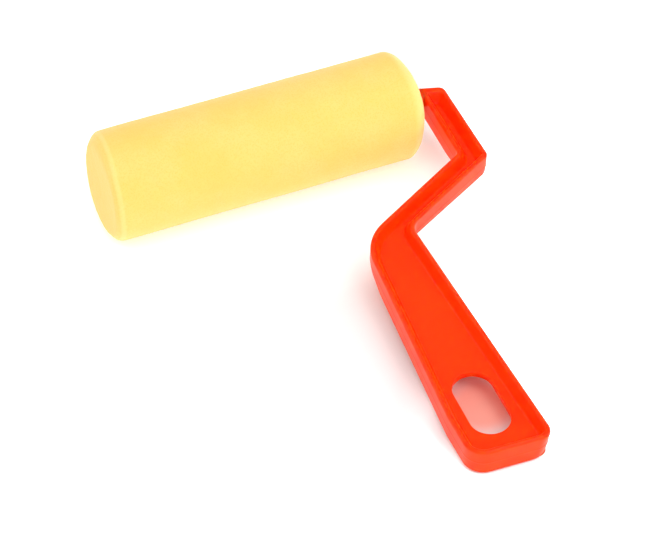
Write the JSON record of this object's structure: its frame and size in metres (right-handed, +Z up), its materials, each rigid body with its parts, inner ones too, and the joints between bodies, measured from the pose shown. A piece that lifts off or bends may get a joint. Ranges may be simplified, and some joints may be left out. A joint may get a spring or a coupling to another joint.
{
  "type": "paint roller",
  "caption": "Small hand paint roller with a cranked moulded plastic handle, a hang slot in the grip and a closed-end foam cover that spins on the handle's spindle.",
  "frame": {"origin": "centre of the bounding box's underside; the part lies on the floor on its foam roller and on the back edge of the grip's end", "axes": "+X along the roller's axis from its closed end towards the handle's arm, +Y from the grip's end towards the roller, +Z up"},
  "size_m": [0.1106, 0.1543, 0.0334],
  "materials": {
    "handle_plastic": "orange-red injection-moulded plastic, glossy",
    "spring_steel": "stamped spring steel",
    "core_plastic": "off-white moulded plastic, matte",
    "foam": "pale yellow fine-celled foam"
  },
  "bodies": {
    "handle": {"handle": "handle_plastic", "push_nut": "spring_steel"},
    "roller": {"core_tube": "core_plastic", "inner_hub": "core_plastic", "outer_hub": "core_plastic", "foam_sleeve": "foam", "foam_end_plug": "foam"}
  },
  "joints": [
    {"name": "roller_spin", "type": "hinge", "parent": "handle", "child": "roller", "pos_m": [0, 0.06043, 0.0167], "axis": [1, 0, 0], "continuous": true}
  ]
}
